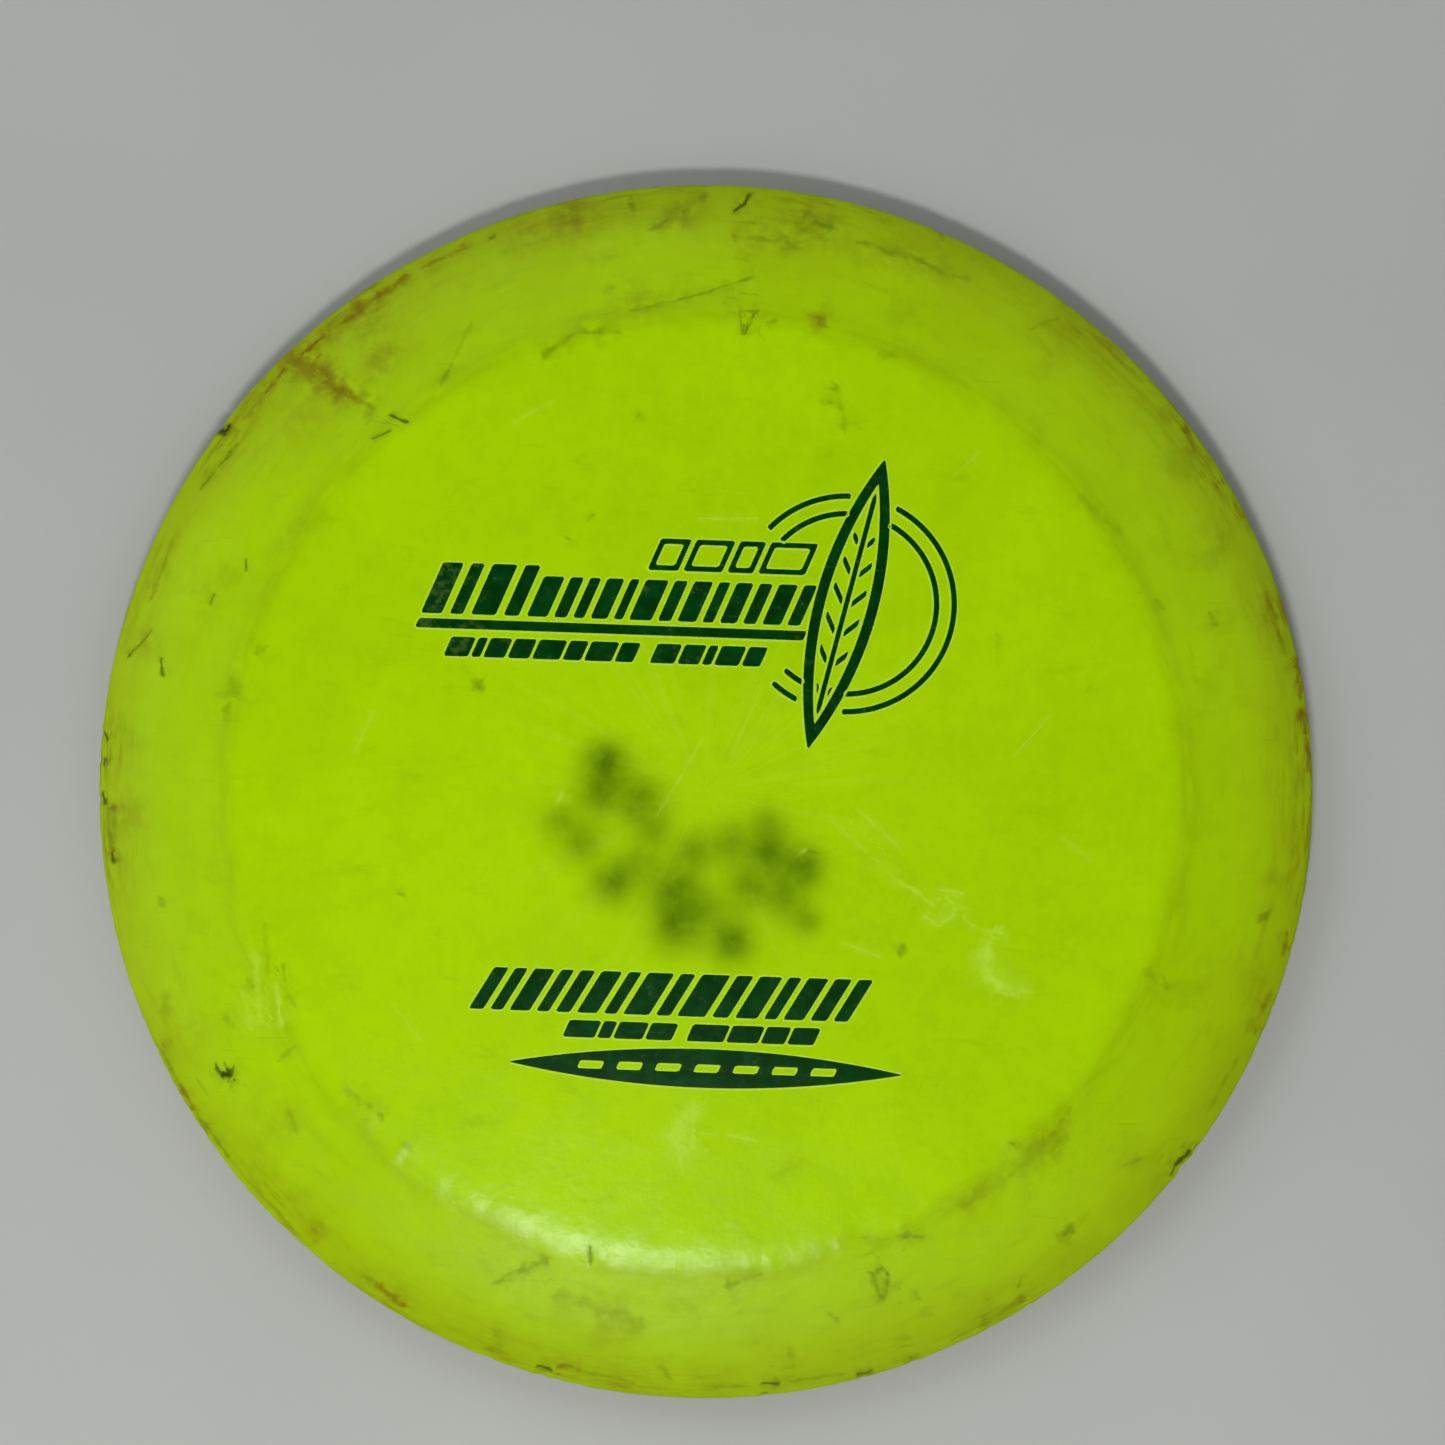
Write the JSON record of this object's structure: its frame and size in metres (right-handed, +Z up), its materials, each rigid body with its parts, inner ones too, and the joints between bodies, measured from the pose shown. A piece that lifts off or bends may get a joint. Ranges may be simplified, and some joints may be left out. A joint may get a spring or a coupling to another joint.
{
  "type": "flying disc",
  "caption": "Disc-golf distance driver: one moulded disc with a wide sharp rim and foil-stamped plain graphics on its flight plate.",
  "frame": {"origin": "on the disc's axis, at the plane that the flat under the rim rests on", "axes": "+Z up along the disc's axis through the flight plate; +X along the lines of the stamp, left to right; +Y from the centre towards the emblem"},
  "size_m": [0.211, 0.211, 0.0163],
  "materials": {
    "disc_plastic": "satin translucent urethane, scuffed",
    "stamp_foil": "hot-stamped metallised film"
  },
  "bodies": {
    "root": {"moulded_disc": "disc_plastic", "emblem_ring_foil": "stamp_foil", "emblem_leaf_foil": "stamp_foil", "title_rule_foil": "stamp_foil", "outline_block_foil": "stamp_foil", "title_block_foil": "stamp_foil", "caption_block_foil": "stamp_foil", "lower_block_foil": "stamp_foil", "lower_caption_foil": "stamp_foil", "lower_bar_foil": "stamp_foil"}
  },
  "joints": []
}
